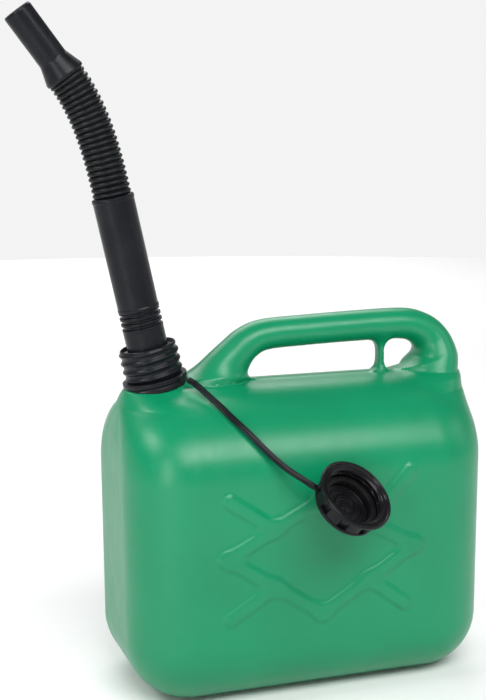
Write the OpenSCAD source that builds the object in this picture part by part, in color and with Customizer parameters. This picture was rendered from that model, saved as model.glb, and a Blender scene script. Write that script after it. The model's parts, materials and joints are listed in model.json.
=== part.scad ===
// Plastic fuel can with a hollow moulded handle, a leaning screw neck, a black pouring spout
// with a corrugated bend, and a screw cap that hangs on a tether.
// Millimetres. +Z is up, +X runs away from the neck, the face with the hanging cap is at -Y.
// The origin is the centre of the base, on the ground.

/* [Can] */
// Length of the can, end to end
can_length = 250; // [240:1:260]
// Width of the can, face to face
can_width = 141; // [132:1:146]
// Height of the ridge under the handle
ridge_height = 205; // [201:1:209]
// Height at which the faces start to curve in
shoulder_height = 151; // [141:1:156]
// Wall of the blow-moulded shell
wall = 2; // [1.6:0.1:2.4]
// Radius of the upright corners
corner_radius = 42.5; // [36:0.5:47]
// Radius of the edge around the base
foot_radius = 40.5; // [34:0.5:42]
// How far the ends draw in over the shoulders
end_draw = 28; // [22:1:32]

/* [Handle] */
// Height of the centre of the grip
grip_height = 236.5; // [234:0.5:239]
// Thickness of the upright web under the grip
web_thickness = 3.8; // [3:0.1:6]
// Place of the web along the can
web_x = 66.5; // [56:0.5:72]

/* [Neck] */
// Lean of the neck towards the left end, in degrees
neck_lean = 12; // [8:1:15]
// Outer radius of the neck
neck_radius = 16.5; // [16:0.1:16.6]
// Inner radius of the neck
neck_bore = 13.2; // [12:0.1:13.6]

/* [Spout] */
// Outer radius of the spout's straight tube
spout_radius = 13.7; // [13.6:0.1:14]
// Length of the plain sleeve
sleeve_length = 75; // [55:1:85]
// Outer radius of the corrugated hose
hose_radius = 12.6; // [12.5:0.1:12.9]
// Bend of the hose at rest, in degrees
hose_bend = 24.5; // [10:0.5:26]
// Outer radius of the nozzle's tip
nozzle_radius = 9.4; // [8.6:0.1:9.8]
// Length of the nozzle's straight tip
nozzle_length = 34; // [25:1:50]

/* [Cap and tether] */
// Outer radius of the cap's rim
cap_radius = 25.5; // [24:0.5:26]
// Height of the cap
cap_height = 17; // [16:0.5:19]
// Width of the tether strap
strap_width = 4; // [3.4:0.1:4.2]

/* [Hidden] */
$fn = 64;
green = [0.0, 0.50, 0.33];
black = [0.05, 0.05, 0.06];
rubber = [0.10, 0.10, 0.10];
tiny = 0.01;
margin = 10;

// Plan sections of the can: a stack of rounded rectangles from the base to the ridge
corner_steps = 8;
foot_rings = 5;
top_rings = 9;
top_angle = 86;
corner_ease = 0.98;
web_width = 7;
web_low = ridge_height - 6;
web_top = grip_height - 8;

// Neck axis: it passes through neck_foot, and s is the distance along it
neck_foot = [-94.5, 0, 209.5];
neck_top = 14;
seat_s = -3.8;
seat_radius = 20.3;
seat_base_radius = 32;
seat_depth = 22.5;
neck_root = -32;

// Stack on the neck
gap = 0.2;
seal_thickness = 1.5;
seal_radius = neck_radius - 0.3;
flange_thickness = 2.4;
shelf_thickness = 2.4;
collar_bottom = 2;
collar_top = 23.2;
collar_wall_in = neck_radius + 0.4;
collar_hole = spout_radius + 0.3;
collar_radius = 19;
collar_ridge = 0.6;
ridge_width = 2.2;
ridge_root = 0.5;
first_ridge = collar_bottom + 3;
ridge_step = 5;
ridge_count = 4;
cup_radius = 17.2;
ring_bottom = seat_s + gap;
ring_top = collar_bottom - gap;
ring_radius = 21.5;
ring_bore = neck_radius + 0.35;
lug_turn = -50;
lug_reach = 1.9;
lug_width = 4;
lug_root = 1;
flange_radius = 16.2;
seal_top = neck_top + seal_thickness;
flange_top = seal_top + flange_thickness;
shelf_top = flange_top + gap + shelf_thickness;
tube_radius = spout_radius - 0.1;
tube_bore = 10.4;
grooves_bottom = 36.3;
groove_step = 3.8;
groove_width = 1.4;
tube_groove_depth = 0.9;
sleeve_bottom = 47.2;
spigot_top = sleeve_bottom + 11.5;
spigot_radius = 11.4;
spigot_bore = 9.5;
spigot_bottom = sleeve_bottom - 3;
sleeve_top = sleeve_bottom + sleeve_length;
sleeve_bore = spigot_radius + 0.05;
sleeve_end = 6;

// Hose: a chain of short tubes that turn on one another like beads with ball joints
hinge_count = 11;
hinge_pitch = 7.2;
first_hinge = 3.6;
ball_radius = 11;
socket_radius = 11.3;
hose_bore = 8;
ball_top = 0.95;
skirt_drop = 0.95;
skirt_top = 3.9;
socket_roof = 2.85;
groove_depth = 1;
groove_low = 1.2;
groove_high = 2.4;
bend_unit = hose_bend / (hinge_count * (hinge_count + 1) / 2);

// Nozzle
flare_radius = 13.1;
flare_straight = 5;
flare_top = 18;
nozzle_bore = 7.8;

// Cap, which hangs mouth up and outwards
cap_crown = [3, -89, 135.2];
cap_axis = [0.29, -0.64, 0.71];
skirt_radius = 22.4;
cap_bore = 20.4;
crown_thickness = 2;
crown_radius = 21.2;
hub_radius = 19.2;
hub_height = 3;
crown_floor = 7;
hub_bore = 15.5;
hub_floor = 2.2;
bead = 0.7;
bead_width = 1.2;
bead_heights = [10, 13.2];
cap_seal_in = hub_bore + 0.4;
cap_seal_out = cap_bore - 0.9;
rim_height = 2.8;
grip_slots = 9;
first_slot = 30;
slot_width = 4.6;
slot_depth = 1.4;
slot_low = 7;
slot_high = cap_height - rim_height - 1;
loop_in = 19.6;
loop_out = 22.2;
loop_low = 2.3;
loop_high = 4.6;
tab_turn = 220;
tab_root = 0.6;
tab_length = 2.4;
tab_width = 4.4;

// Route of the strap's centre line, from the ring's lug to the cap's loop
strap_route = [
    [-77.6, -20.2, 211.3], [-75, -23.3, 209.8], [-71.5, -28, 206.5], [-67.5, -35, 202], [-63, -43.5, 197],
    [-59, -51, 192], [-54, -58, 186.5], [-49, -63.2, 181], [-43.5, -67.8, 174.5], [-37, -72.5, 167.5],
    [-30, -77.2, 161], [-22.3, -82.5, 155.5], [-15.4, -85.7, 150.6]
];
strap_sides = 10;

// Tilt from upright and turn about the vertical of a direction
function tilt_of(v) = acos(v[2] / norm(v));
function turn_of(v) = atan2(v[1], v[0]);

module at_neck(s) {
    translate(neck_foot) rotate([0, -neck_lean, 0]) translate([0, 0, s]) children();
}

module on_cap_axis() {
    translate(cap_crown)
        rotate([0, 0, turn_of(cap_axis)])
            rotate([0, tilt_of(cap_axis), 0])
                children();
}

// A ring between two radii and two heights
module ring(inner, outer, low, high) {
    rotate_extrude()
        translate([inner, low])
            square([outer - inner, high - low]);
}

// Points of a rounded rectangle in plan at height z, drawn in from the can's full outline
function plan_points(left, right, half, r, z) = [
    for (q = [0:3], i = [0:corner_steps - 1])
        let (a = 90 * q + 90 * (i + 0.5) / corner_steps)
        let (cx = (q == 0 || q == 3) ? right - r : -(left - r))
        let (cy = (q == 0 || q == 1) ? half - r : -(half - r))
        [cx + r * cos(a), cy + r * sin(a), z]
];

// All plan sections of the shell, inset by t on every side
function shell_rings(t) = [
    for (i = [0:foot_rings])
        let (a = 90 * i / foot_rings, r = foot_radius - t)
        let (inset = r * (1 - sin(a)))
        plan_points(can_length / 2 - t - inset, can_length / 2 - t - inset,
                    can_width / 2 - t - inset, corner_radius - t - inset, t + r * (1 - cos(a))),
    for (i = [0:top_rings])
        let (a = top_angle * i / top_rings)
        let (inset = end_draw * (1 - cos(a)), half = (can_width / 2 - t) * cos(a))
        plan_points(can_length / 2 - t - inset, can_length / 2 - t - inset / 2, half,
                    min(corner_radius - t, half) * corner_ease,
                    shoulder_height + (ridge_height - t - shoulder_height) * sin(a))
];

// Centre of one ring of points
function ring_centre(ring) = [for (c = [0:2]) sum_of([for (p = ring) p[c]]) / len(ring)];

// Sum of a list
function sum_of(list, i = 0) = i == len(list) ? 0 : list[i] + sum_of(list, i + 1);

// A closed solid over a stack of equal rings, with a fan of faces at each end
module loft(rings) {
    count = len(rings[0]);
    last = len(rings) - 1;
    low_centre = (last + 1) * count;
    high_centre = low_centre + 1;
    faces = [
        for (j = [0:last - 1], i = [0:count - 1])
            let (a = j * count + i, b = j * count + (i + 1) % count)
            each [[a, a + count, b + count], [a, b + count, b]],
        for (i = [0:count - 1])
            let (b = (i + 1) % count)
            each [[low_centre, i, b], [high_centre, last * count + b, last * count + i]]
    ];
    ends = [ring_centre(rings[0]), ring_centre(rings[last])];
    polyhedron(points = concat([for (r = rings) each r], ends), faces = faces);
}

// Handle: each station is [x, z, radius in the plane of the handle, half width across it]
handle_stations = [
    [-73.5, 188, 15, 22], [-64, 198, 14, 19], [-52.3, 210, 13.6, 15.5], [-40, 221.5, 12.3, 13.5],
    [-29.5, grip_height - 5, 11, 12.5], [-17, grip_height - 1, 10.4, 12.2], [9.5, grip_height, 10.4, 12.2],
    [49, grip_height + 0.5, 10.4, 12.2], [83, grip_height, 10.4, 12.2], [96, grip_height - 3.5, 11.1, 12.7],
    [104, 226, 13.2, 15], [107.5, 216, 15.5, 22.5], [108, 204.5, 16, 36], [104.5, 192.5, 19, 47],
    [100, 177, 22.5, 55]
];
handle_sides = 20;

function station_tangent(k) =
    let (a = handle_stations[max(k - 1, 0)])
    let (b = handle_stations[min(k + 1, len(handle_stations) - 1)])
    let (d = [b[0] - a[0], b[1] - a[1]])
    d / norm(d);

function handle_rings(t) = [
    for (k = [0:len(handle_stations) - 1])
        let (s = handle_stations[k], d = station_tangent(k))
        [
            for (i = [0:handle_sides - 1])
                let (a = 360 * i / handle_sides)
                let (u = (s[2] - t) * cos(a), v = (s[3] - t) * sin(a))
                [s[0] + d[1] * u, v, s[1] - d[0] * u]
        ]
];

module handle(t) {
    loft(handle_rings(t));
}

module can_body() {
    color(green)
        difference() {
            union() {
                loft(shell_rings(0));
                handle(0);
                at_neck(seat_s - seat_depth)
                    cylinder(r1 = seat_base_radius, r2 = seat_radius, h = seat_depth);
                at_neck(neck_root)
                    cylinder(r = neck_radius, h = neck_top - neck_root);
                translate([web_x - web_thickness / 2, -web_width / 2, web_low])
                    cube([web_thickness, web_width, web_top - web_low]);
            }
            loft(shell_rings(wall));
            handle(wall);
            at_neck(seat_s - seat_depth - tiny)
                cylinder(r1 = seat_base_radius - 1.2 * wall, r2 = seat_radius - 2 * wall,
                         h = seat_depth - wall);
            at_neck(neck_root - margin)
                cylinder(r = neck_bore, h = neck_top - neck_root + 2 * margin);
        }
}

module neck_seal() {
    color(rubber)
        at_neck(0)
            ring(tube_bore, seal_radius, neck_top, seal_top);
}

module spout_collar() {
    color(black)
        at_neck(0)
            union() {
                ring(collar_wall_in, collar_radius, collar_bottom, flange_top + gap);
                ring(collar_hole, collar_radius, flange_top + gap, shelf_top);
                ring(cup_radius, collar_radius, shelf_top, collar_top);
                for (k = [0:ridge_count - 1])
                    let (low = first_ridge + ridge_step * k)
                        ring(collar_radius - ridge_root, collar_radius + collar_ridge,
                             low, low + ridge_width);
            }
}

module spout_base() {
    color(black)
        at_neck(0)
            difference() {
                union() {
                    ring(tube_bore, flange_radius, seal_top, flange_top);
                    ring(tube_bore, tube_radius, flange_top, sleeve_bottom);
                    ring(spigot_bore, spigot_radius, spigot_bottom, spigot_top);
                }
                for (k = [0:2])
                    let (low = grooves_bottom + groove_step * k)
                        ring(tube_radius - tube_groove_depth, tube_radius + 1, low, low + groove_width);
            }
}

// The ball end of a hose piece, centred on its hinge, joined to a body that ends at low
module ball_end(low) {
    intersection() {
        difference() {
            sphere(r = ball_radius);
            cylinder(r = hose_bore, h = 4 * ball_radius, center = true);
        }
        translate([0, 0, low])
            cylinder(r = ball_radius + 1, h = ball_top - low);
    }
}

// The hollow that takes the ball of the piece below, centred on its hinge
module socket_hollow() {
    intersection() {
        sphere(r = socket_radius);
        translate([0, 0, -skirt_drop - 1])
            cylinder(r = socket_radius + 1, h = socket_roof + skirt_drop + 1);
    }
}

module spout_sleeve() {
    color(black)
        at_neck(sleeve_top + first_hinge)
            union() {
                ring(sleeve_bore, spout_radius, -first_hinge - sleeve_length, -first_hinge - sleeve_end);
                ring(hose_bore, spout_radius, -first_hinge - sleeve_end, -first_hinge);
                ball_end(-first_hinge - tiny);
            }
}

// Frame of hinge k of the hose, as [x, z, lean], counted from 1 at the sleeve
function hinge_frame(k) =
    k == 1
        ? [neck_foot[0] - (sleeve_top + first_hinge) * sin(neck_lean),
           neck_foot[2] + (sleeve_top + first_hinge) * cos(neck_lean),
           neck_lean + bend_unit]
        : let (p = hinge_frame(k - 1))
          [p[0] - hinge_pitch * sin(p[2]), p[1] + hinge_pitch * cos(p[2]), p[2] + bend_unit * k];

module at_hinge(k) {
    f = hinge_frame(k);
    translate([f[0], 0, f[1]])
        rotate([0, -f[2], 0])
            children();
}

module hose_segment(k) {
    color(black)
        at_hinge(k)
            union() {
                difference() {
                    translate([0, 0, -skirt_drop])
                        cylinder(r = hose_radius, h = skirt_top + skirt_drop);
                    socket_hollow();
                    cylinder(r = hose_bore, h = 4 * margin, center = true);
                    ring(hose_radius - groove_depth, hose_radius + 1, groove_low, groove_high);
                }
                translate([0, 0, hinge_pitch])
                    ball_end(skirt_top - hinge_pitch - tiny);
            }
}

module spout_nozzle() {
    color(black)
        at_hinge(hinge_count)
            difference() {
                union() {
                    translate([0, 0, -skirt_drop])
                        cylinder(r = flare_radius, h = flare_straight + skirt_drop);
                    translate([0, 0, flare_straight])
                        cylinder(r1 = flare_radius, r2 = nozzle_radius, h = flare_top - flare_straight);
                    translate([0, 0, flare_top])
                        cylinder(r = nozzle_radius, h = nozzle_length);
                }
                socket_hollow();
                translate([0, 0, -margin])
                    cylinder(r = nozzle_bore, h = flare_top + nozzle_length + 2 * margin);
            }
}

module tether_ring() {
    color(black)
        at_neck(0)
            union() {
                ring(ring_bore, ring_radius, ring_bottom, ring_top);
                rotate([0, 0, lug_turn])
                    translate([ring_radius - lug_root, -lug_width / 2, ring_bottom])
                        cube([lug_reach, lug_width, ring_top - ring_bottom]);
            }
}

// Rings of a tube along a route: each ring stands square to the route
function strap_tangent(k) =
    let (a = strap_route[max(k - 1, 0)], b = strap_route[min(k + 1, len(strap_route) - 1)])
    (b - a) / norm(b - a);

function strap_rings() = [
    for (k = [0:len(strap_route) - 1])
        let (d = strap_tangent(k))
        let (e = cross(d, [0, 0, 1]) / norm(cross(d, [0, 0, 1])))
        let (f = cross(d, e))
        [
            for (i = [0:strap_sides - 1])
                let (a = 360 * i / strap_sides)
                strap_route[k] + strap_width / 2 * (cos(a) * e + sin(a) * f)
        ]
];

module tether_strap() {
    color(black)
        loft(strap_rings());
}

module cap_loop() {
    color(black)
        on_cap_axis()
            union() {
                ring(loop_in, loop_out, loop_low, loop_high);
                rotate([0, 0, tab_turn])
                    translate([loop_out - tab_root, -tab_width / 2, loop_low])
                        cube([tab_length, tab_width, loop_high - loop_low]);
            }
}

module screw_cap() {
    color(black)
        on_cap_axis()
            difference() {
                union() {
                    cylinder(r = crown_radius, h = crown_thickness);
                    cylinder(r = hub_radius, h = crown_thickness + hub_height);
                    translate([0, 0, crown_thickness + hub_height])
                        cylinder(r = skirt_radius, h = cap_height - crown_thickness - hub_height);
                    translate([0, 0, cap_height - rim_height])
                        cylinder(r = cap_radius, h = rim_height);
                }
                difference() {
                    translate([0, 0, crown_floor])
                        cylinder(r = cap_bore, h = cap_height);
                    for (z = bead_heights)
                        ring(cap_bore - bead, cap_bore + 1, z, z + bead_width);
                }
                translate([0, 0, hub_floor])
                    cylinder(r = hub_bore, h = cap_height);
                for (k = [0:grip_slots - 1])
                    rotate([0, 0, first_slot + 360 * k / grip_slots])
                        translate([skirt_radius - slot_depth, -slot_width / 2, slot_low])
                            cube([slot_depth + 2, slot_width, slot_high - slot_low]);
            }
}

module cap_seal() {
    color(rubber)
        on_cap_axis()
            ring(cap_seal_in, cap_seal_out, crown_floor, crown_floor + seal_thickness);
}

can_body();
neck_seal();
spout_collar();
spout_base();
spout_sleeve();
hose_segment(1);  // hose_segment_01
hose_segment(2);  // hose_segment_02
hose_segment(3);  // hose_segment_03
hose_segment(4);  // hose_segment_04
hose_segment(5);  // hose_segment_05
hose_segment(6);  // hose_segment_06
hose_segment(7);  // hose_segment_07
hose_segment(8);  // hose_segment_08
hose_segment(9);  // hose_segment_09
hose_segment(10);  // hose_segment_10
spout_nozzle();
tether_ring();
tether_strap();
cap_loop();
screw_cap();
cap_seal();
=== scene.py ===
"""The finished looks of a five litre plastic fuel can with a bendable spout and a tethered cap."""

import json
import math

import bmesh
import bpy
import numpy as np
from mathutils import Matrix, Vector


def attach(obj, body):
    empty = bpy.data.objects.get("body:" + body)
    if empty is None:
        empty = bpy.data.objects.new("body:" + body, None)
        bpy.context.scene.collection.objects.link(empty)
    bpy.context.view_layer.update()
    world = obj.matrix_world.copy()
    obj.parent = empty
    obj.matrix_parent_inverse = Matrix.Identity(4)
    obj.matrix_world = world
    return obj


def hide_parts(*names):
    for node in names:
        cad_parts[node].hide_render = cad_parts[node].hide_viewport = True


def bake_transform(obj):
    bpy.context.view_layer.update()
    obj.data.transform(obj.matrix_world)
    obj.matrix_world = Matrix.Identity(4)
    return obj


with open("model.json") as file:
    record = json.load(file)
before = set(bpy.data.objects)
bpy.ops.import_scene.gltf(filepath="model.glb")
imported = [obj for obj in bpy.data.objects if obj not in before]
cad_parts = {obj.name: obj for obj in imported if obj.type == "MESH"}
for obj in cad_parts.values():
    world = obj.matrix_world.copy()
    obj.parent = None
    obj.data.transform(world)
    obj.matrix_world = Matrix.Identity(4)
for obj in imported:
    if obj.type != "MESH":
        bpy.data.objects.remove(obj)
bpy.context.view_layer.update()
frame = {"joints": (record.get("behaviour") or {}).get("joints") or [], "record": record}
JOINTS = {joint["name"]: joint for joint in frame["joints"]}
MM = 0.001


# ---------------------------------------------------------------- camera

# Angles, distance and lens place the can in the frame as the photograph does.
CAMERA_TARGET = Vector((-19.26, 0, 183.1)) * MM
CAMERA_TURN = math.radians(19.22)
CAMERA_DROP = math.radians(11.84)
CAMERA_ROLL = math.radians(-0.2)
CAMERA_DISTANCE = 934.8 * MM
FOCAL_LENGTH = 70.76
SENSOR = 36
SHIFT = (-0.0286, 0.0857)


def make_camera():
    """A camera at the left front, a little above the can, with a slight lens shift."""
    ahead = Vector((
        math.sin(CAMERA_TURN) * math.cos(CAMERA_DROP),
        math.cos(CAMERA_TURN) * math.cos(CAMERA_DROP),
        -math.sin(CAMERA_DROP),
    ))
    right = Vector((math.cos(CAMERA_TURN), -math.sin(CAMERA_TURN), 0))
    up = right.cross(ahead)
    right, up = (
        right * math.cos(CAMERA_ROLL) + up * math.sin(CAMERA_ROLL),
        up * math.cos(CAMERA_ROLL) - right * math.sin(CAMERA_ROLL),
    )
    data = bpy.data.cameras.new("camera")
    data.sensor_width = SENSOR
    data.lens = FOCAL_LENGTH
    data.shift_x, data.shift_y = SHIFT
    camera = bpy.data.objects.new("camera", data)
    camera.matrix_world = Matrix.Translation(CAMERA_TARGET - ahead * CAMERA_DISTANCE) @ Matrix(
        (right, up, -ahead)
    ).transposed().to_4x4()
    bpy.context.scene.collection.objects.link(camera)
    bpy.context.scene.camera = camera


make_camera()


# ---------------------------------------------------------------- mesh helpers


def axis_frame(origin, axis, side=(0, 1, 0)):
    """A matrix with its Z along axis and its Y as near to side as it can be."""
    z = Vector(axis).normalized()
    x = Vector(side).cross(z).normalized()
    y = z.cross(x)
    return Matrix.Translation(Vector(origin)) @ Matrix((x, y, z)).transposed().to_4x4()


def joint_frame(name, side=(0, 1, 0)):
    joint = JOINTS[name]
    return axis_frame(joint["pos_m"], joint["axis"], side)


def cap_frame():
    """The cap's axis, with its X turned away from the vertical as the CAD has it."""
    joint = JOINTS["cap_spin"]
    axis = Vector(joint["axis"]).normalized()
    flat = Vector((axis.x, axis.y, 0)).normalized()
    y = Vector((0, 0, 1)).cross(flat).normalized()
    x = y.cross(axis).normalized()
    return Matrix.Translation(Vector(joint["pos_m"])) @ Matrix((x, y, axis)).transposed().to_4x4()


def round_axis(place, degrees, reach, height):
    """A place turned round its axis, then moved out and up by millimetres."""
    turn = Matrix.Rotation(math.radians(degrees), 4, "Z")
    return place @ turn @ Matrix.Translation(Vector((reach, 0, height)) * MM)


def make_mesh(name, points, faces, matrix=None, sharp=35):
    """An object from points in millimetres, smooth but for edges sharper than the angle."""
    mesh = bpy.data.meshes.new(name)
    in_metres = (np.asarray(points, float) * MM).tolist()
    mesh.from_pydata(in_metres, [], [list(map(int, face)) for face in faces])
    if matrix is not None:
        mesh.transform(matrix)
    mesh.validate()
    mesh.update()
    mesh.shade_smooth()
    mesh.set_sharp_from_angle(angle=math.radians(sharp))
    thing = bpy.data.objects.new(name, mesh)
    bpy.context.scene.collection.objects.link(thing)
    return thing


def rounded(outline, radius, steps=4):
    """A closed outline of (r, z) points with each corner turned into a curve.

    A point may bring its own radius as a third value.
    """
    out = []
    count = len(outline)
    straight = math.radians(176)
    longest_share = 0.49
    for i, corner in enumerate(outline):
        here = Vector(corner[:2])
        before = Vector(outline[i - 1][:2]) - here
        after = Vector(outline[(i + 1) % count][:2]) - here
        r = corner[2] if len(corner) > 2 else radius
        turn = before.angle(after)
        if r <= 0 or turn > straight:
            out.append(tuple(here))
            continue
        shorter = min(longest_share * before.length, longest_share * after.length)
        reach = min(r / math.tan(turn / 2), shorter)
        start = here + before.normalized() * reach
        end = here + after.normalized() * reach
        for k in range(steps + 1):
            t = k / steps
            out.append(tuple(start * (1 - t) ** 2 + here * 2 * t * (1 - t) + end * t * t))
    return out


def turned(name, outline, matrix, sides=96, warp=None, sharp=35):
    """A closed outline of (r, z) points turned round the Z axis of matrix.

    warp, where it is given, changes (r, angle, z).
    """
    count = len(outline)
    ring = np.array(outline, float)
    points = []
    for k in range(sides):
        angle = 2 * math.pi * k / sides
        r, z = ring[:, 0].copy(), ring[:, 1].copy()
        if warp is not None:
            r, z = warp(r, angle, z)
        points.append(np.stack([r * math.cos(angle), r * math.sin(angle), z], 1))
    faces = [
        (
            k * count + i,
            (k + 1) % sides * count + i,
            (k + 1) % sides * count + (i + 1) % count,
            k * count + (i + 1) % count,
        )
        for k in range(sides)
        for i in range(count)
    ]
    area = sum(
        ring[i - 1][0] * ring[i][1] - ring[i][0] * ring[i - 1][1] for i in range(count)
    )
    if area < 0:
        faces = [face[::-1] for face in faces]
    return make_mesh(name, np.concatenate(points), faces, matrix, sharp)


def rounded_block(name, size, radius, matrix):
    """A block with rolled edges."""
    thing = make_mesh(name, *box_shape(size))
    edges = thing.modifiers.new("edges", "BEVEL")
    edges.width = radius * MM
    edges.segments = 4
    thing.data.transform(matrix)
    return thing


def box_shape(size):
    """The corners and faces of a box round the origin."""
    x, y, z = (side / 2 for side in size)
    points = [(a, b, c) for a in (-x, x) for b in (-y, y) for c in (-z, z)]
    faces = [(0, 1, 3, 2), (4, 6, 7, 5), (0, 4, 5, 1), (2, 3, 7, 6), (0, 2, 6, 4), (1, 5, 7, 3)]
    return points, faces


def helix_height(angle, z, pitch):
    """Where a point stands between two turns of a right-handed thread, from 0 to 1."""
    return ((z - pitch * angle / (2 * math.pi)) / pitch) % 1.0


def fade(z, low, high, length):
    """1 between low and high, falling to 0 over the length at either end."""
    return np.clip((z - low) / length, 0, 1) * np.clip((high - z) / length, 0, 1)


# ---------------------------------------------------------------- materials


def node_tree(name):
    """A new material, with its node tree and its shader."""
    material = bpy.data.materials.new(name)
    material.use_nodes = True
    tree = material.node_tree
    shader = tree.nodes["Principled BSDF"]
    return material, tree, shader


def noise(tree, scale, detail=4.0, roughness=0.55, stretch=None):
    """A noise in the object's own coordinates, with the scale in waves per metre."""
    coords = tree.nodes.new("ShaderNodeTexCoord")
    out = coords.outputs["Object"]
    if stretch is not None:
        mapping = tree.nodes.new("ShaderNodeMapping")
        mapping.inputs["Scale"].default_value = stretch
        tree.links.new(out, mapping.inputs["Vector"])
        out = mapping.outputs["Vector"]
    texture = tree.nodes.new("ShaderNodeTexNoise")
    texture.inputs["Scale"].default_value = scale
    texture.inputs["Detail"].default_value = detail
    texture.inputs["Roughness"].default_value = roughness
    tree.links.new(out, texture.inputs["Vector"])
    return texture.outputs["Fac"]


def spread(tree, value, low, high, low_in=0.3, high_in=0.7):
    """Maps a noise to a range."""
    node = tree.nodes.new("ShaderNodeMapRange")
    node.inputs["From Min"].default_value = low_in
    node.inputs["From Max"].default_value = high_in
    node.inputs["To Min"].default_value = low
    node.inputs["To Max"].default_value = high
    tree.links.new(value, node.inputs["Value"])
    return node.outputs["Result"]


def math_node(tree, operation, *values):
    """A sum on node outputs."""
    node = tree.nodes.new("ShaderNodeMath")
    node.operation = operation
    for socket, value in zip(node.inputs, values):
        tree.links.new(value, socket)
    return node.outputs["Value"]


def mixed(tree, factor, dark, light):
    """A colour between two, by the factor."""
    node = tree.nodes.new("ShaderNodeMix")
    node.data_type = "RGBA"
    node.inputs["A"].default_value = (*dark, 1)
    node.inputs["B"].default_value = (*light, 1)
    tree.links.new(factor, node.inputs["Factor"])
    return node.outputs["Result"]


def bumps(tree, shader, layers):
    """A chain of bump nodes, each of (height, distance in metres, strength)."""
    normal = None
    for height, distance, strength in layers:
        node = tree.nodes.new("ShaderNodeBump")
        node.inputs["Strength"].default_value = strength
        node.inputs["Distance"].default_value = distance
        tree.links.new(height, node.inputs["Height"])
        if normal is not None:
            tree.links.new(normal, node.inputs["Normal"])
        normal = node.outputs["Normal"]
    tree.links.new(normal, shader.inputs["Normal"])


def moulded_green():
    """Blow-moulded polyethylene: satin, slightly uneven, with a fine mould grain and faint scuffs."""
    material, tree, shader = node_tree("moulded_green")
    cloud = noise(tree, 14, 3)
    grain = noise(tree, 1500, 2, 0.6)
    ripple = noise(tree, 32, 2, 0.5)
    scuff = noise(tree, 160, 5, 0.65, (1, 1, 0.25))
    colour = mixed(tree, spread(tree, cloud, 0, 1), (0.0, 0.205, 0.086), (0.0, 0.233, 0.099))
    tree.links.new(colour, shader.inputs["Base Color"])
    tree.links.new(spread(tree, scuff, 0.30, 0.39), shader.inputs["Roughness"])
    shader.inputs["IOR"].default_value = 1.5
    shader.inputs["Specular IOR Level"].default_value = 0.42
    bumps(tree, shader, [(ripple, 0.0009, 0.25), (grain, 0.00006, 0.35)])
    return material


def moulded_black(name, base, rough, grain_scale=1800):
    """Injection-moulded black plastic with a soft sheen, cloudy tone and fine grain."""
    material, tree, shader = node_tree(name)
    cloud = noise(tree, 55, 4)
    grain = noise(tree, grain_scale, 2, 0.6)
    streak = noise(tree, 220, 4, 0.6, (1, 1, 0.2))
    light = tuple(c * 1.4 + 0.002 for c in base)
    tree.links.new(mixed(tree, spread(tree, cloud, 0, 1), base, light), shader.inputs["Base Color"])
    tree.links.new(spread(tree, streak, rough - 0.05, rough + 0.08), shader.inputs["Roughness"])
    shader.inputs["Specular IOR Level"].default_value = 0.18
    bumps(tree, shader, [(cloud, 0.0003, 0.15), (grain, 0.00005, 0.3)])
    return material


def dull_rubber():
    """Nearly black rubber for the washers, with a fine uneven grain."""
    material, tree, shader = node_tree("dull_rubber")
    cloud = noise(tree, 90, 4)
    grain = noise(tree, 2500, 3, 0.7)
    colour = mixed(tree, spread(tree, cloud, 0, 1), (0.006, 0.006, 0.007), (0.011, 0.011, 0.011))
    tree.links.new(colour, shader.inputs["Base Color"])
    tree.links.new(spread(tree, cloud, 0.28, 0.4), shader.inputs["Roughness"])
    shader.inputs["Specular IOR Level"].default_value = 0.2
    bumps(tree, shader, [(grain, 0.00008, 0.3)])
    return material


GREEN = moulded_green()
BLACK = moulded_black("moulded_black", (0.005, 0.006, 0.008), 0.30)
HOSE = moulded_black("hose_black", (0.005, 0.006, 0.007), 0.32, 1400)
CAP = moulded_black("cap_black", (0.005, 0.005, 0.006), 0.22)
RUBBER = dull_rubber()


def dress(thing, material, body=None, nodes=()):
    """Gives a piece its material, its body and the CAD nodes that it stands for."""
    thing.data.materials.clear()
    thing.data.materials.append(material)
    if body is not None:
        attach(thing, body)
    if nodes:
        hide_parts(*nodes)
    return thing


# ---------------------------------------------------------------- tether strap: the one cord

# From the ring's lug to the cap's loop, in millimetres.
STRAP_ROUTE = [
    (-77.6, -20.2, 211.3), (-75, -23.3, 209.8), (-71.5, -28, 206.5), (-67.5, -35, 202),
    (-63, -43.5, 197), (-59, -51, 192), (-54, -58, 186.5), (-49, -63.2, 181),
    (-43.5, -67.8, 174.5), (-37, -72.5, 167.5), (-30, -77.2, 161), (-22.3, -82.5, 155.5),
    (-15.4, -85.7, 150.6),
]
STRAP_STEPS = 8
# The way that the strap's ribbed face looks, and its section as (across, out).
STRAP_OUTWARD = np.array([-0.25, -0.85, 0.45])
STRAP_SECTION = [
    (-2.0, -1.2), (2.0, -1.2), (2.0, 0.5), (0.85, 0.75),
    (0.6, 1.5), (-0.6, 1.5), (-0.85, 0.75), (-2.0, 0.5),
]


def smooth_route(route, steps):
    """Points along a Catmull-Rom curve through the route."""
    knots = np.array(route, float)
    knots = np.vstack([2 * knots[0] - knots[1], knots, 2 * knots[-1] - knots[-2]])
    out = []
    for i in range(1, len(knots) - 2):
        a, b, c, d = knots[i - 1 : i + 3]
        for k in range(steps):
            t = k / steps
            square = (2 * a - 5 * b + 4 * c - d) * t * t
            cube = (3 * b - a - 3 * c + d) * t ** 3
            out.append(0.5 * (2 * b + (c - a) * t + square + cube))
    out.append(knots[-2])
    return np.array(out)


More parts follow.
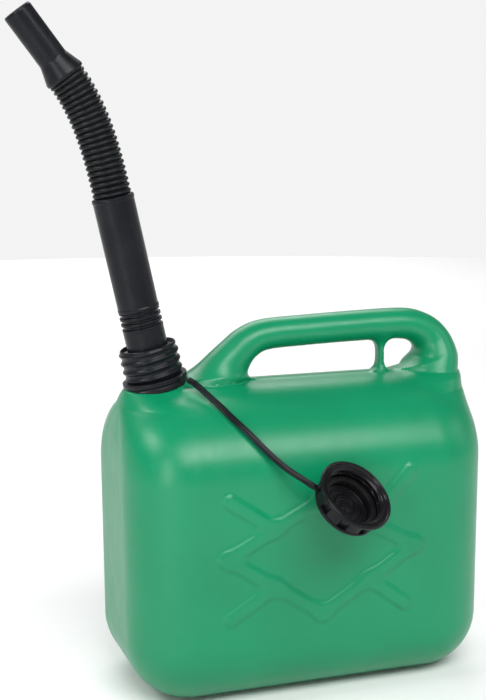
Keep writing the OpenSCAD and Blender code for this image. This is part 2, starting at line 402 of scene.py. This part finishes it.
def make_strap():
    """A flat-backed moulded strap with a raised rib along its middle."""
    line = smooth_route(STRAP_ROUTE, STRAP_STEPS)
    tangent = np.gradient(line, axis=0)
    tangent /= np.linalg.norm(tangent, axis=1)[:, None]
    section = rounded(STRAP_SECTION, 0.4, 3)
    count = len(section)
    points = []
    for p, t in zip(line, tangent):
        up = STRAP_OUTWARD - t * (STRAP_OUTWARD @ t)
        up /= np.linalg.norm(up)
        side = np.cross(t, up)
        points += [p + side * u + up * v for u, v in section]
    rings = len(line)
    centre = len(points)
    points += [line[0], line[-1]]
    faces = [
        (
            k * count + i,
            k * count + (i + 1) % count,
            (k + 1) * count + (i + 1) % count,
            (k + 1) * count + i,
        )
        for k in range(rings - 1)
        for i in range(count)
    ]
    faces += [(centre, (i + 1) % count, i) for i in range(count)]
    last = (rings - 1) * count
    faces += [(centre + 1, last + i, last + (i + 1) % count) for i in range(count)]
    strap = make_mesh("strap", points, faces)
    dress(strap, BLACK, "strap", ["tether_strap"])
    path = [tuple(p * MM) for p in line]
    length = float(np.linalg.norm(np.diff(line, axis=0), axis=1).sum()) * MM
    return strap, path, length


def make_cap_loop():
    """The loop that turns in the cap's groove, and the short tab that joins it to the strap."""
    inner, outer, low, high, edge = 19.6, 22.2, 2.3, 4.6, 0.7
    tab_angle, tab_reach, tab_height = 220, 22.9, 3.45
    tab_size = (2.5, 4.4, 2.3)
    outline = rounded([(inner, low), (outer, low), (outer, high), (inner, high)], edge)
    loop = turned("cap_loop_band", outline, CAP_PLACE, 96)
    dress(loop, BLACK, "strap", ["cap_loop"])
    place = round_axis(CAP_PLACE, tab_angle, tab_reach, tab_height)
    tab = rounded_block("cap_loop_tab", tab_size, edge, place)
    return loop, dress(tab, BLACK, "strap")


CAP_PLACE = cap_frame()
strap, strap_path, strap_length = make_strap()
list(make_cap_loop())


# ---------------------------------------------------------------- neck stack

NECK = joint_frame("spout_swivel")
NECK_RADIUS = 16.5
NECK_BORE = 13.2
NECK_TOP = 14.0
SLEEVE_BOTTOM = 47.2
SLEEVE_TOP = 122.2


def make_neck():
    """The can's threaded neck, which stands in the collar."""
    pitch, depth, first_turn, run_out = 4.0, 0.9, 0.5, 2
    root, plain_top, shoulder = -12, -6, NECK_TOP - 0.5

    def warp(r, angle, z):
        wave = 0.5 + 0.5 * np.cos(2 * math.pi * helix_height(angle, z, pitch))
        outer = (r > NECK_RADIUS - 0.2) & (z > first_turn)
        return r - outer * depth * (1 - wave ** 2) * fade(z, first_turn, shoulder, run_out), z

    outer = [(NECK_RADIUS, z) for z in np.arange(plain_top, shoulder, 0.5)]
    outline = [(NECK_BORE, root), (NECK_RADIUS, root)] + outer + [(NECK_RADIUS, shoulder)]
    outline += [(NECK_RADIUS - 0.5, NECK_TOP), (NECK_BORE + 0.4, NECK_TOP), (NECK_BORE, NECK_TOP - 0.4)]
    neck = turned("neck", outline, NECK, 120, warp)
    return dress(neck, GREEN, "can")


def make_collar():
    """The screw collar: an open cup with rounded thread ridges outside that climb to the right."""
    wall_in, top, bottom, radius = 16.9, 23.2, 2.0, 18.6
    cup, shelf, shelf_under, hole = 17.2, 20.5, 18.1, 14.0
    pitch, ridge, groove, sharpness, run_out = 5.8, 1.35, 0.35, 1.4, 1.6
    low, high = bottom + 0.6, top - 1.0

    def warp(r, angle, z):
        wave = 0.5 + 0.5 * np.cos(2 * math.pi * helix_height(angle, z, pitch))
        outer = r > radius - 0.3
        return r + outer * (ridge * wave ** sharpness - groove) * fade(z, low, high, run_out), z

    outer = [(radius, z) for z in np.arange(bottom + 0.9, high, 0.35)]
    outline = [(wall_in, bottom + 0.4), (wall_in + 0.4, bottom), (radius - 0.5, bottom)] + outer
    outline += [(radius, top - 0.9), (radius - 0.3, top - 0.3), (radius - 0.9, top)]
    outline += [(cup + 0.4, top - 0.1), (cup, top - 0.6), (cup, shelf + 0.5), (cup - 0.5, shelf)]
    outline += [(hole + 0.3, shelf), (hole, shelf - 0.3), (hole, shelf_under), (wall_in, shelf_under)]
    collar = turned("collar", outline, NECK, 144, warp, 50)
    return dress(collar, BLACK, "collar", ["spout_collar"])


def make_base():
    """The straight tube of the spout that leaves the collar, with three small rings at its top."""
    tube, bore, bottom, top = 13.45, 10.4, 15.5, SLEEVE_BOTTOM
    flange, flange_top = 16.2, 17.9
    ring_bottom, step, rings = 34.8, 3.9, 3
    crest, trough = tube + 0.15, tube - 1.5
    outline = [(bore, bottom), (flange, bottom), (flange, flange_top), (tube, flange_top)]
    for k in range(rings):
        z = ring_bottom + step * k
        outline += [(tube, z, 0.2), (crest, z + 0.3, 0.3), (crest, z + 1.7, 0.5)]
        outline += [(trough, z + 2.2, 0.4), (trough, z + 3.4, 0.4)]
    outline += [(tube, ring_bottom + rings * step, 0.3), (tube, top), (bore, top)]
    base = turned("spout_tube", rounded(outline, 0.35), NECK, 96, None, 40)
    return dress(base, BLACK, "spout", ["spout_base"])


def make_sleeve():
    """The plain sleeve, with a small bead at each end."""
    bead, bore = 13.7, 10.6
    plain = bead - 0.35
    low, high = SLEEVE_BOTTOM, SLEEVE_TOP
    outline = [
        (bore, low), (bead - 0.6, low), (bead, low + 0.7), (bead, low + 2.2, 0.3),
        (plain, low + 2.9, 0.4), (plain, high - 3.2, 0.4), (bead, high - 2.6, 0.4),
        (bead, high - 0.9), (bead - 0.9, high), (bore, high),
    ]
    sleeve = turned("sleeve", rounded(outline, 0.5), NECK, 96, None, 40)
    return dress(sleeve, BLACK, "spout", ["spout_sleeve"])


def make_tether_ring():
    """The ring under the collar that the strap leaves from, with its lug."""
    low, high, inner, outer = -5.4, 1.8, 16.85, 21.5
    groove_low, groove_high, groove_depth = -2.9, -0.9, 0.9
    lug_angle, lug_reach, lug_height = -50, 21.0, -0.9
    lug_size = (2.8, 4.0, 5.0)
    groove_middle = (outer - groove_depth, -1.9)
    outline = rounded([
        (inner, low), (outer, low), (outer, groove_low), groove_middle, (outer, groove_high),
        (outer, high), (inner, high),
    ], 0.6)
    ring = turned("tether_ring_body", outline, NECK, 120)
    dress(ring, BLACK, "tether", ["tether_ring"])
    place = round_axis(NECK, lug_angle, lug_reach, lug_height)
    lug = rounded_block("tether_lug", lug_size, 0.8, place)
    return ring, dress(lug, BLACK, "tether")


make_neck()
make_collar()
make_base()
make_sleeve()
make_tether_ring()


# ---------------------------------------------------------------- corrugated hose

HINGES = sorted(
    (joint for joint in frame["joints"] if joint["name"].startswith("hose_")),
    key=lambda joint: joint["pos_m"][2],
)
HOSE_RADIUS = 12.5
HOSE_DEPTH = 1.5
HOSE_BORE = 9.2
# Waves in a stretch of full length, and how far the hose runs past its first and last hinge.
WAVES = 2
END_REACH = 3.6


def nozzle_direction():
    """The way that the nozzle points."""
    tip = next(mount for mount in frame["record"]["mounts"] if mount["name"] == "nozzle_tip")
    return Vector(tip["axis"]).normalized()


def make_hose():
    """One corrugated stretch for each hinge.

    It runs from the middle of the piece below to the middle of the piece above, and bends
    where the hinge does.
    """
    hinge_points = [Vector(joint["pos_m"]) for joint in HINGES]
    pitch = (hinge_points[2] - hinge_points[1]).length
    up = (NECK.to_3x3() @ Vector((0, 0, 1))).normalized()
    tip = nozzle_direction()
    stretches = [(b - a).normalized() for a, b in zip(hinge_points, hinge_points[1:])]
    leans = [up] + stretches + [tip]
    for k, here in enumerate(hinge_points):
        below, above = leans[k], leans[k + 1]
        low = here - below * pitch / 2
        high = here + above * pitch / 2
        if k == 0:
            low = here - below * END_REACH * MM
        if k == len(hinge_points) - 1:
            high = here + above * END_REACH * MM
        make_hose_stretch(k, low, here, high, below, above)


def make_hose_stretch(k, low, here, high, below, above):
    """A short bellows along a smooth bend through three points."""
    steps = 28
    sides = 72
    share = (high - low).length / (2 * END_REACH * MM)
    outer, inner = [], []
    side = Vector((0, 1, 0))
    for i in range(steps + 1):
        t = i / steps
        centre = low * (1 - t) ** 2 + here * 2 * t * (1 - t) + high * t * t
        along = (below * (1 - t) + above * t).normalized()
        across = side.cross(along).normalized()
        crest = abs(math.sin(math.pi * WAVES * share * t))
        radius = (HOSE_RADIUS - HOSE_DEPTH * (1 - crest)) * MM
        for ring, r in ((outer, radius), (inner, HOSE_BORE * MM)):
            ring.append([
                centre + (across * math.cos(a) + side * math.sin(a)) * r
                for a in (2 * math.pi * j / sides for j in range(sides))
            ])
    rings = outer + inner[::-1]
    points = [tuple(point / MM) for ring in rings for point in ring]
    total = len(rings)
    faces = [
        (
            i * sides + j,
            i * sides + (j + 1) % sides,
            (i + 1) % total * sides + (j + 1) % sides,
            (i + 1) % total * sides + j,
        )
        for i in range(total)
        for j in range(sides)
    ]
    stretch = make_mesh("hose_bellows_%02d" % (k + 1), points, faces, None, 60)
    dress(stretch, HOSE)
    if k < len(HINGES) - 1:
        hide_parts("hose_segment_%02d" % (k + 1))
    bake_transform(stretch)


make_hose()


def make_nozzle():
    """The nozzle: a short flare over the hose's end, a cone, and the straight tip with its rolled mouth."""
    place = axis_frame(HINGES[-1]["pos_m"], nozzle_direction())
    flare, tip, bore, socket, end = 13.1, 9.4, 7.8, 9.8, 52.0
    outline = [
        (socket, 3.8), (flare - 0.8, 3.3, 0.4), (flare, 4.0, 0.5), (flare, 5.4, 0.8),
        (tip, 16.4, 5), (tip, end - 1.2, 0.3), (tip - 0.5, end, 0.5), (bore + 0.3, end, 0.3),
        (bore, end - 0.8, 0.3), (bore, 17, 3), (socket, 10, 2),
    ]
    nozzle = turned("nozzle_spout", rounded(outline, 0.4, 6), place, 96, None, 40)
    return dress(nozzle, BLACK, "nozzle", ["spout_nozzle"])


make_nozzle()


# ---------------------------------------------------------------- cap

CAP_SLOTS = 9
FIRST_SLOT = 30
CAP_HEIGHT = 17.0
# The innermost rings of the cap's outline, which close_pole draws in to the axis.
POLE = 0.6


def make_cap():
    """The screw cap: broad grips round its skirt, a flat rim, a coarse thread inside and a stepped floor."""
    skirt, rim, bore = 22.4, 25.5, 20.4
    slot_half, slot_edge = 7.2, 1.2
    slot_low, slot_high = 5.2, 13.5
    slot_heights, slot_depths = (6.5, 8.0, 13.0), (2.9, 1.75, 1.5)
    pitch, thread_depth, thread_floor = 3.3, 1.25, 8.4

    def warp(r, angle, z):
        turn = (math.degrees(angle) - FIRST_SLOT) % (360 / CAP_SLOTS)
        near = min(turn, 360 / CAP_SLOTS - turn)
        deep = 1 - min(max((near - slot_half + slot_edge) / (2 * slot_edge), 0), 1)
        outer = (r > skirt - 0.25) & (r < skirt + 0.2) & (z > slot_low) & (z < slot_high)
        r = r - outer * deep * np.interp(z, slot_heights, slot_depths)
        thread = (r > bore - 0.15) & (r < bore + 0.15) & (z > thread_floor)
        wave = np.clip(np.cos(2 * math.pi * helix_height(angle, z, pitch)) * 1.6, -0.2, 1)
        return r - thread * thread_depth * np.maximum(wave, 0) * fade(z, 8.6, 15.0, 0.8), z

    inner = [(bore, z, 0) for z in np.arange(14.8, 7.8, -0.25)]
    grips = [(skirt, z, 0) for z in (5.6, 5.9, 7, 8.5, 10, 11.5, 13, 13.3)]
    outline = [
        (POLE, 0.0, 0), (17.0, 0.0, 1), (19.2, 0.5, 1), (19.9, 1.2, 0.5), (19.9, 2.0, 0.3),
        (19.3, 2.2, 0.2), (19.3, 4.7, 0.2), (21.2, 4.9, 0.4),
    ] + grips + [
        (skirt + 0.3, 13.9, 0.3), (rim - 0.6, 14.1, 0.5), (rim, 14.9, 0.6), (rim, 16.1, 0.6),
        (rim - 0.9, CAP_HEIGHT, 0.7), (rim - 1.5, CAP_HEIGHT, 0.5), (rim - 2.1, 16.4, 0.3),
        (rim - 2.7, 15.1, 0.3), (bore + 1.4, 14.9, 0.3), (bore + 1.1, 15.5, 0.2),
        (bore + 0.3, 15.5, 0.3),
    ] + inner + [
        (bore - 0.1, 7.1, 0.2), (15.6, 7.0, 0.3), (15.5, 2.6, 0.3), (13.2, 2.4, 0.2),
        (12.9, 3.6, 0.2), (11.6, 3.6, 0.2), (11.3, 2.4, 0.2), (8.2, 2.4, 0.2), (7.9, 3.3, 0.2),
        (6.8, 3.3, 0.2), (6.5, 2.4, 0.2), (3.4, 2.4, 0.2), (3.1, 2.9, 0.2), (POLE, 2.9, 0),
    ]
    cap = turned("cap_shell", rounded(outline, 0.3, 3), CAP_PLACE, 216, warp, 32)
    close_pole(cap, CAP_PLACE)
    return dress(cap, CAP, "cap", ["screw_cap"])


def close_pole(thing, place):
    """Draws the two innermost rings in to the axis, so that the floor and the crown are closed."""
    back = place.inverted()
    for vertex in thing.data.vertices:
        local = back @ vertex.co
        if math.hypot(local.x, local.y) < (POLE + 0.1) * MM:
            vertex.co = place @ Vector((0, 0, local.z))
    mesh = bmesh.new()
    mesh.from_mesh(thing.data)
    bmesh.ops.remove_doubles(mesh, verts=mesh.verts, dist=1e-6)
    mesh.to_mesh(thing.data)
    mesh.free()


def make_cap_seal():
    """The flat washer on the cap's shelf."""
    inner, outer, low, high = 15.9, 19.5, 7.0, 8.3
    outline = rounded([(inner, low), (outer, low), (outer, high), (inner, high)], 0.3)
    seal = turned("cap_washer", outline, CAP_PLACE, 96)
    return dress(seal, RUBBER, "cap", ["cap_seal"])


def make_neck_seal():
    """The washer between the neck's top and the spout's flange."""
    inner, outer, low, high = 10.4, 16.2, NECK_TOP, 15.5
    outline = rounded([(inner, low), (outer, low), (outer, high), (inner, high)], 0.3)
    seal = turned("neck_washer", outline, NECK, 96)
    return dress(seal, RUBBER, "seal", ["neck_seal"])


make_cap()
make_cap_seal()
make_neck_seal()


# ---------------------------------------------------------------- green can

# The body's plan, the heights where it starts to arch over and where the arch ends, and its radii.
LENGTH, WIDTH = 250.0, 141.0
RIDGE, SHOULDER = 205.0, 151.0
CORNER, FOOT = 42.5, 40.5
# How far each end leans in under the arch, for the whole height of it.
LEFT_DRAW, RIGHT_DRAW = 14.0, 9.8
# The handle's centre line, from its left foot to its right: (x, z, half height, half width).
GRIP_Z = 236.5
HANDLE = [
    (-88, 170, 9, 11), (-80, 180, 12.5, 17), (-73.5, 188, 14.5, 20.5), (-64, 198, 14, 18.5),
    (-52.3, 210, 13.4, 15.5), (-41, 221.0, 12.4, 13.5), (-31, GRIP_Z - 6.5, 11.2, 12.5),
    (-18, GRIP_Z - 1.5, 10.5, 12.2), (9.5, GRIP_Z, 10.4, 12.2), (45, GRIP_Z + 1, 10.5, 12.2),
    (80, GRIP_Z + 1.2, 10.7, 12.4), (94, GRIP_Z - 2, 11.3, 13), (103.5, 227, 13, 15.5),
    (107.8, 216, 15, 21.5), (106.3, 204.5, 16.2, 26), (102, 192.5, 17, 31),
    (95, 179, 15, 31), (87, 165, 12, 27), (80, 150, 8, 20),
]
# The grid in x and z that the handle's distances are worked out on.
TABLE_STEP = 0.5
TABLE_LEFT, TABLE_RIGHT, TABLE_LOW, TABLE_HIGH = -115, 145, 130, 262
# The cone under the neck: its top along the neck, its radius there, its spread, and its depth.
SEAT_TOP, SEAT_RADIUS, SEAT_SPREAD, SEAT_DEPTH = -5.6, 20.3, 0.52, 21
SEAT_STEEPNESS = 0.887
# The thin web under the grip.
WEB_X, WEB_HALF_LONG, WEB_HALF_WIDE, WEB_ROUND = 66.5, 0.6, 3, 1.3
# The raised lattice: a diamond, with an arm out of the middle of each side.
RIB_CORNERS = [(-68, 103), (-3, 60), (62, 100), (-4, 137)]
RIB_ARMS = [(-66, 63), (56, 60), (58, 151), (-66, 141)]
RIB_HEIGHT, RIB_HALF_WIDTH, RIB_SLOPE, RIB_BLEND = 1.5, 6.2, 3.6, 7
# How softly the parts of the can run into each other, and the mesh's grid.
HANDLE_BLEND, SEAT_BLEND, WEB_BLEND = 15, 6, 9
GRID = 1.75


def blend_min(a, b, k):
    """The smaller of two distances, with the corner between them rounded over k."""
    h = np.clip(0.5 + 0.5 * (b - a) / k, 0, 1)
    return b * (1 - h) + a * h - k * h * (1 - h)


def plan_distance(x, y, z):
    """How far a point is outside the can's plan section at its height."""
    low = np.clip((FOOT - z) / FOOT, 0, 1)
    foot_inset = FOOT * (1 - np.sqrt(1 - low ** 2))
    high = np.clip((z - SHOULDER) / (RIDGE - SHOULDER), 0, 1)
    arch = np.sqrt(1 - high ** 2)
    draw = (1 - arch) * np.where(x < 0, LEFT_DRAW, RIGHT_DRAW)
    half_long = LENGTH / 2 - foot_inset - draw
    half_wide = (WIDTH / 2 - foot_inset) * arch
    corner = np.minimum(np.maximum(CORNER - foot_inset, 1.0), np.maximum(half_wide, 0.5) * 0.98)
    qx = np.abs(x) - (half_long - corner)
    qy = np.abs(y) - (half_wide - corner)
    return np.hypot(np.maximum(qx, 0), np.maximum(qy, 0)) + np.minimum(np.maximum(qx, qy), 0) - corner


def shell_distance(x, y, z):
    """Near to a true distance from the shell: the plan distance over its steepness in height."""
    step = 0.6
    here = plan_distance(x, y, z)
    level = np.clip(z, 2, RIDGE - 4)
    slope = (plan_distance(x, y, level + step) - plan_distance(x, y, level - step)) / (2 * step)
    out = here / np.sqrt(1 + slope ** 2)
    return np.maximum(np.maximum(out, -z), z - RIDGE)


def handle_table():
    """Over the handle's middle plane: the distance to its centre line, and its two radii there."""
    spine = smooth_route(HANDLE, 10)
    xs = np.arange(TABLE_LEFT, TABLE_RIGHT, TABLE_STEP)
    zs = np.arange(TABLE_LOW, TABLE_HIGH, TABLE_STEP)
    x, z = np.meshgrid(xs, zs, indexing="ij")
    table = np.full((3,) + x.shape, 1e3)
    for (x0, z0, r0, w0), (x1, z1, r1, w1) in zip(spine, spine[1:]):
        dx, dz = x1 - x0, z1 - z0
        t = np.clip(((x - x0) * dx + (z - z0) * dz) / (dx * dx + dz * dz), 0, 1)
        flat = np.hypot(x - x0 - t * dx, z - z0 - t * dz)
        nearer = flat < table[0]
        for layer, value in zip(table, (flat, r0 + t * (r1 - r0), w0 + t * (w1 - w0))):
            layer[nearer] = value[nearer]
    return table


HANDLE_TABLE = handle_table()


def handle_distance(x, y, z):
    """Distance from the handle, whose cross-sections are ovals."""
    u = np.clip((x - TABLE_LEFT) / TABLE_STEP, 0, HANDLE_TABLE.shape[1] - 1.001)
    v = np.clip((z - TABLE_LOW) / TABLE_STEP, 0, HANDLE_TABLE.shape[2] - 1.001)
    i, j = u.astype(int), v.astype(int)
    u, v = u - i, v - j
    near, far = HANDLE_TABLE[:, i, j], HANDLE_TABLE[:, i, j + 1]
    left = near * (1 - v) + far * v
    near, far = HANDLE_TABLE[:, i + 1, j], HANDLE_TABLE[:, i + 1, j + 1]
    flat, r, w = left * (1 - u) + (near * (1 - v) + far * v) * u
    outside = np.hypot(flat / r, y / w)
    steep = np.maximum(np.hypot(flat / r ** 2, y / w ** 2), 1e-3)
    return outside * (outside - 1) / steep + np.maximum(TABLE_LOW - z, 0) * 2


def seat_distance(x, y, z):
    """The cone that carries the neck."""
    origin, axis = NECK.translation / MM, NECK.to_3x3() @ Vector((0, 0, 1))
    px, pz = x - origin.x, z - origin.z
    s = px * axis.x + pz * axis.z
    radial = np.sqrt(np.maximum(px ** 2 + y ** 2 + pz ** 2 - s ** 2, 0))
    slant = SEAT_RADIUS + (SEAT_TOP - s) * SEAT_SPREAD
    side = (radial - slant) * SEAT_STEEPNESS
    return np.maximum(np.maximum(side, s - SEAT_TOP), SEAT_TOP - SEAT_DEPTH - s)


def web_distance(x, y, z):
    """Distance from the web, which stands between the ridge and the grip."""
    past_x = np.maximum(np.abs(x - WEB_X) - WEB_HALF_LONG, 0)
    past_y = np.maximum(np.abs(y) - WEB_HALF_WIDE, 0)
    across = np.hypot(past_x, past_y) - WEB_ROUND
    return np.maximum(across, np.maximum(z - GRIP_Z + 4, RIDGE - 14 - z))


def stroke(x, z, a, b):
    """Distance in the face's plane from the line between two points."""
    dx, dz = b[0] - a[0], b[1] - a[1]
    t = np.clip(((x - a[0]) * dx + (z - a[1]) * dz) / (dx * dx + dz * dz), 0, 1)
    return np.hypot(x - a[0] - t * dx, z - a[1] - t * dz)


def relief(x, y, z):
    """Height of the raised lattice on the two faces."""
    away = np.full(x.shape, 1e3)
    for k, arm in enumerate(RIB_ARMS):
        a, b = RIB_CORNERS[k], RIB_CORNERS[(k + 1) % 4]
        away = blend_min(away, stroke(x, z, a, b), RIB_BLEND)
        middle = ((a[0] + b[0]) / 2, (a[1] + b[1]) / 2)
        away = blend_min(away, stroke(x, z, middle, arm), RIB_BLEND)
    t = np.clip((RIB_HALF_WIDTH - away) / RIB_SLOPE, 0, 1)
    on_face = np.clip((np.abs(y) - 40) / 10, 0, 1)
    return RIB_HEIGHT * t * t * (3 - 2 * t) * on_face


def can_distance(x, y, z):
    """Distance from the whole can: shell, handle, neck seat, web and lattice."""
    body = shell_distance(x, y, z)
    grown = blend_min(body, handle_distance(x, y, z), HANDLE_BLEND)
    grown = blend_min(grown, seat_distance(x, y, z), SEAT_BLEND)
    grown = blend_min(grown, web_distance(x, y, z), WEB_BLEND)
    return grown - relief(x, y, z)


def surface_net(function, low, high, step, coarse=8):
    """A quad mesh of where function is zero. Only cells near the surface are worked out in full."""
    count = (np.ceil((np.array(high) - low) / step / coarse).astype(int)) * coarse + 1
    axes = [low[i] + step * np.arange(count[i]) for i in range(3)]
    rough = function(*np.meshgrid(*[a[::coarse] for a in axes], indexing="ij"))
    reach = step * coarse * 1.5
    values = np.empty(count, np.float32)
    cells = np.array(rough.shape) - 1
    near = np.zeros(cells, bool)
    sign = np.zeros(cells)
    for dx in (0, 1):
        for dy in (0, 1):
            for dz in (0, 1):
                part = rough[dx : dx + cells[0], dy : dy + cells[1], dz : dz + cells[2]]
                near |= np.abs(part) < reach
                sign += part
    values[:] = 1.0
    for i, j, k in np.ndindex(*cells):
        region = tuple(slice(c * coarse, (c + 1) * coarse + 1) for c in (i, j, k))
        if near[i, j, k]:
            spans = [axis[span] for axis, span in zip(axes, region)]
            values[region] = function(*np.meshgrid(*spans, indexing="ij"))
        elif sign[i, j, k] < 0:
            inner = values[region]
            inner[inner == 1.0] = -1.0
    return net_of(values, np.array(low), step)


def net_of(values, low, step):
    """One point in each cell that the surface crosses, and a quad round each edge that it crosses."""
    inside = values < 0
    n = np.array(values.shape)
    filled = np.zeros(tuple(n - 1), np.int8)
    for dx in (0, 1):
        for dy in (0, 1):
            for dz in (0, 1):
                filled += inside[dx : n[0] - 1 + dx, dy : n[1] - 1 + dy, dz : n[2] - 1 + dz]
    active = (filled > 0) & (filled < 8)
    ids = np.argwhere(active)
    index = -np.ones(active.shape, np.int64)
    index[active] = np.arange(len(ids))
    total, hits = np.zeros((len(ids), 3)), np.zeros(len(ids))
    corners = [np.array((a, b, c)) for a in (0, 1) for b in (0, 1) for c in (0, 1)]
    for i, p in enumerate(corners):
        for q in corners[i + 1 :]:
            if abs(p - q).sum() != 1:
                continue
            at_p = values[tuple((ids + p).T)]
            at_q = values[tuple((ids + q).T)]
            crossing = (at_p < 0) != (at_q < 0)
            share = np.where(crossing, at_p / np.where(crossing, at_p - at_q, 1), 0)
            total += np.where(crossing[:, None], p + share[:, None] * (q - p), 0)
            hits += crossing
    points = (ids + total / hits[:, None]) * step + low
    quads = []
    for axis, (one, two) in enumerate(((1, 2), (2, 0), (0, 1))):
        first, second = [slice(None)] * 3, [slice(None)] * 3
        first[axis], second[axis] = slice(0, -1), slice(1, None)
        s0, s1 = inside[tuple(first)], inside[tuple(second)]
        edge = np.argwhere(s0 != s1)
        out = s0[tuple(edge.T)]
        ring = []
        for d1, d2 in ((-1, -1), (0, -1), (0, 0), (-1, 0)):
            cell = edge.copy()
            cell[:, one] += d1
            cell[:, two] += d2
            ring.append(index[tuple(cell.T)])
        quad = np.stack(ring, 1)
        quad[~out] = quad[~out][:, ::-1]
        quads.append(quad)
    return points, np.concatenate(quads)


def settle(points, function, rounds=3):
    """Moves points onto the surface along its gradient, and returns them with the surface's normals."""
    for turn in range(rounds + 1):
        value = function(*points.T)
        slope = gradient(points, function)
        size = np.maximum(np.linalg.norm(slope, axis=1), 0.2)
        if turn == rounds:
            return points, slope / size[:, None]
        points = points - np.clip(value / size, -1.2, 1.2)[:, None] * slope / size[:, None]


def gradient(points, function, step=0.6):
    """The slope of function at the points."""
    out = np.empty_like(points)
    for axis in range(3):
        offset = np.zeros(3)
        offset[axis] = step
        out[:, axis] = (function(*(points + offset).T) - function(*(points - offset).T)) / (2 * step)
    return out


def make_can():
    """The green shell with its handle, web, neck seat and relief, as one closed smooth surface."""
    low, high = (-131.0, -78.0, -7.0), (131.0, 78.0, 254.0)
    points, quads = surface_net(can_distance, low, high, GRID)
    points, normals = settle(points, can_distance)
    points[:, 2] = np.maximum(points[:, 2], 0)
    mesh = bpy.data.meshes.new("can_shell")
    mesh.from_pydata((points * MM).tolist(), [], quads.tolist())
    mesh.validate()
    mesh.update()
    mesh.shade_smooth()
    mesh.normals_split_custom_set_from_vertices(normals.tolist())
    can = bpy.data.objects.new("can_shell", mesh)
    bpy.context.scene.collection.objects.link(can)
    return dress(can, GREEN, "can", ["can_body"])


make_can()


# ---------------------------------------------------------------- floor and light


def make_stage():
    """A plain pale round floor."""
    radius, sides = 3.0, 96
    angles = [2 * math.pi * k / sides for k in range(sides)]
    mesh = bpy.data.meshes.new("floor")
    rim = [(radius * math.cos(angle), radius * math.sin(angle), 0) for angle in angles]
    mesh.from_pydata(rim, [], [range(sides)])
    floor = bpy.data.objects.new("floor", mesh)
    bpy.context.scene.collection.objects.link(floor)
    material, tree, shader = node_tree("pale_floor")
    tint = mixed(tree, noise(tree, 3), (0.88, 0.88, 0.88), (0.92, 0.92, 0.92))
    tree.links.new(tint, shader.inputs["Base Color"])
    shader.inputs["Roughness"].default_value = 0.9
    floor.data.materials.append(material)


def area_light(name, place, aim, size, power):
    """A rectangular soft box, in metres and watts."""
    data = bpy.data.lights.new(name, "AREA")
    data.shape = "RECTANGLE"
    data.size, data.size_y = size
    data.energy = power
    light = bpy.data.objects.new(name, data)
    light.location = place
    light.rotation_mode = "QUATERNION"
    light.rotation_quaternion = (Vector(aim) - Vector(place)).to_track_quat("-Z", "Y")
    bpy.context.scene.collection.objects.link(light)


def make_lights():
    """Soft boxes above the front, at both sides and over the far floor, in a pale room.

    The room is brightest at eye level and behind the can.
    """
    centre = (0, 0, 0.15)
    far_floor = (0, 2.4, 0)
    area_light("top_box", (0.1, -1.15, 1.3), centre, (1.4, 0.7), 25)
    area_light("left_box", (-1.25, -1.15, 0.55), centre, (0.35, 1.1), 8)
    area_light("high_left_box", (-1.2, -0.1, 1.3), centre, (0.4, 0.4), 7.5)
    area_light("right_box", (1.5, -0.5, 0.9), centre, (0.8, 0.8), 3)
    area_light("floor_box", (0.0, 2.6, 2.4), far_floor, (3.2, 2.4), 95)
    world = bpy.data.worlds.new("studio")
    world.use_nodes = True
    tree = world.node_tree
    background = tree.nodes["Background"]
    coords = tree.nodes.new("ShaderNodeTexCoord")
    split = tree.nodes.new("ShaderNodeSeparateXYZ")
    tree.links.new(coords.outputs["Generated"], split.inputs["Vector"])
    height = math_node(tree, "ABSOLUTE", split.outputs["Z"])
    band = spread(tree, height, 1.0, 0.22, 0.1, 0.24)
    side = spread(tree, split.outputs["Y"], 0.5, 0.9, -0.1, 0.4)
    tree.links.new(math_node(tree, "MULTIPLY", band, side), background.inputs["Strength"])
    background.inputs["Color"].default_value = (1, 1, 1, 1)
    bpy.context.scene.world = world
    bpy.context.scene.view_settings.view_transform = "Standard"


make_stage()
make_lights()
